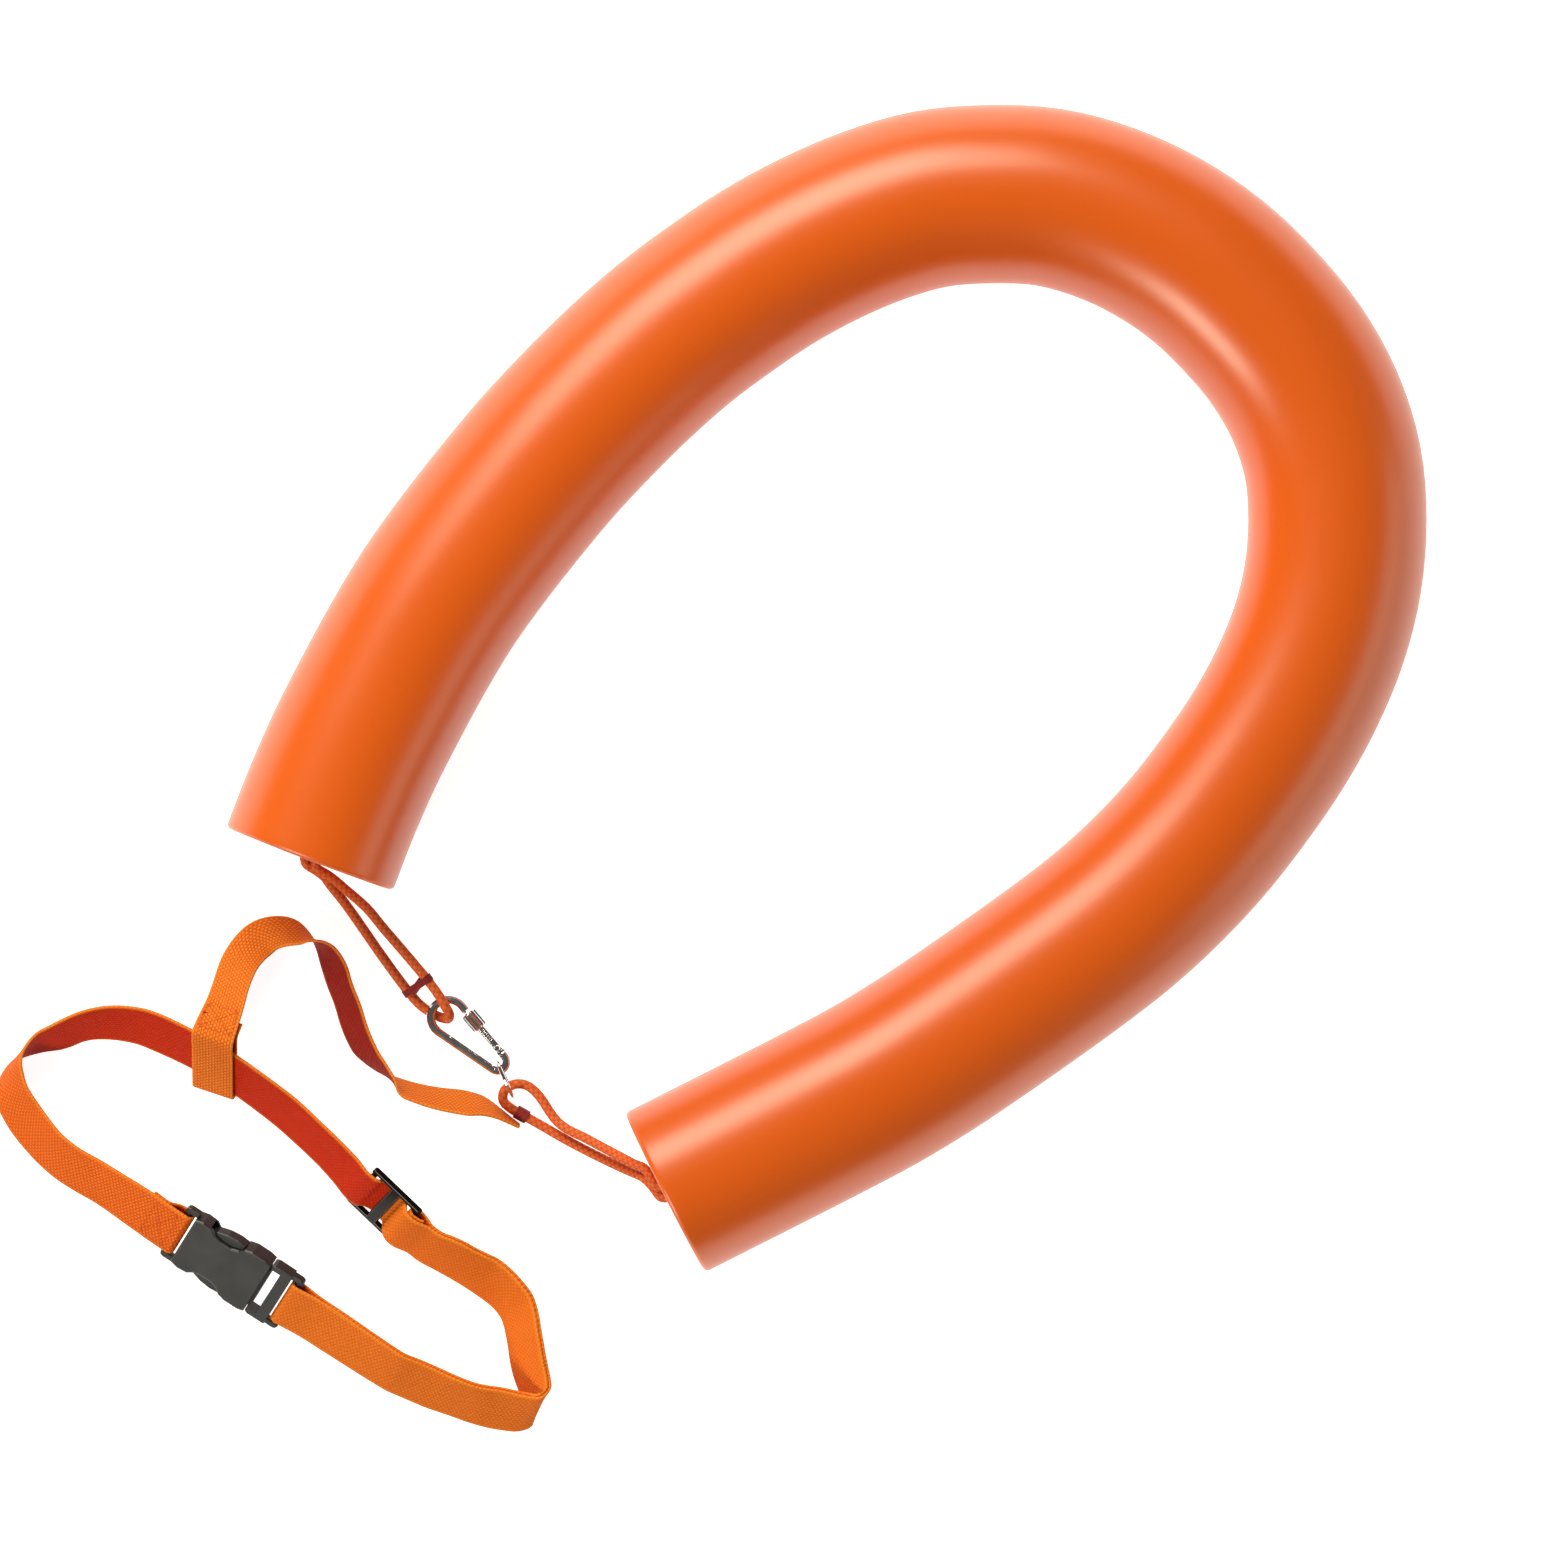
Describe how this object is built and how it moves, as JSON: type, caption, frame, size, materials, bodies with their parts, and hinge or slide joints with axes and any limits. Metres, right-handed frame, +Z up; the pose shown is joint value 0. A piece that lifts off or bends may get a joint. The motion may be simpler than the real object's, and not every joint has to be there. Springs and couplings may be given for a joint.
{
  "type": "swim belt",
  "caption": "Orange swim belt: an adjustable webbing waist belt with a side-release buckle, tied by a strap, cords and a screw-lock hook to a foam float bent into a U.",
  "frame": {"origin": "on the strip that the foam float rests on, halfway round its bend, where its underside is flat and touches the floor", "axes": "+Z up off the floor that the whole belt lies on; +Y and +X lie in the floor, the float's bend towards +X and +Y and the waist belt towards -X and -Y"},
  "size_m": [0.6445, 0.597, 0.0795],
  "materials": {
    "float_foam": "smooth closed-cell foam, satin",
    "belt_webbing": "woven nylon webbing, matte",
    "cord": "braided cord, matte",
    "thread": "sewing thread, dark red",
    "buckle_plastic": "moulded acetal, fine matte",
    "hook_steel": "polished stainless steel"
  },
  "bodies": {
    "main": {"float_tube": "float_foam", "core_strand_inner": "cord", "core_strand_outer": "cord", "left_cord_loop": "cord", "right_cord_loop": "cord", "loop_bartack": "thread", "tether_binding": "thread", "hook_body": "hook_steel", "gate_rivet": "hook_steel", "tether_strap": "belt_webbing", "belt_webbing_long": "belt_webbing", "belt_webbing_doubled": "belt_webbing", "buckle_socket": "buckle_plastic"},
    "gate": {"hook_gate": "hook_steel", "gate_plunger": "hook_steel", "gate_spring": "hook_steel"},
    "nut": {"lock_nut": "hook_steel"},
    "ring": {"link_ring": "hook_steel"},
    "plug": {"buckle_plug": "buckle_plastic"},
    "arm_upper": {"plug_arm_upper": "buckle_plastic"},
    "arm_lower": {"plug_arm_lower": "buckle_plastic"},
    "slider": {"tri_glide": "buckle_plastic"}
  },
  "joints": [
    {"name": "gate_swing", "type": "hinge", "parent": "main", "child": "gate", "pos_m": [-0.33226, -0.33732, 0.0073], "axis": [0, 0, 1], "range_deg": [0, 18], "stiffness_Nm_per_rad": 0.02, "springref_deg": -11.46},
    {"name": "nut_screw", "type": "slide", "parent": "gate", "child": "nut", "axis": [-0.6451, 0.7641, 0], "range_m": [-0.0045, 0.003]},
    {"name": "ring_turn", "type": "hinge", "parent": "main", "child": "ring", "pos_m": [-0.32855, -0.35146, 0.0096], "axis": [-0.908, -0.4191, 0], "continuous": true},
    {"name": "plug_slide", "type": "slide", "parent": "main", "child": "plug", "axis": [0.8386, -0.5447, 0], "range_m": [0, 0.032], "deforming": ["belt_webbing_doubled", "plug_arm_upper", "plug_arm_lower"]},
    {"name": "arm_upper_press", "type": "hinge", "parent": "plug", "child": "arm_upper", "pos_m": [-0.43909, -0.43355, 0.02092], "axis": [-0.3409, -0.5248, 0.78], "range_deg": [0, 8], "stiffness_Nm_per_rad": 0.6},
    {"name": "arm_lower_press", "type": "hinge", "parent": "plug", "child": "arm_lower", "pos_m": [-0.44819, -0.44756, 0.00751], "axis": [0.3409, 0.5248, -0.78], "range_deg": [0, 8], "stiffness_Nm_per_rad": 0.6},
    {"name": "slider_slide", "type": "slide", "parent": "main", "child": "slider", "axis": [0.7224, -0.6914, 0], "range_m": [-0.012, 0.012], "deforming": ["belt_webbing_long", "belt_webbing_doubled"]}
  ]
}
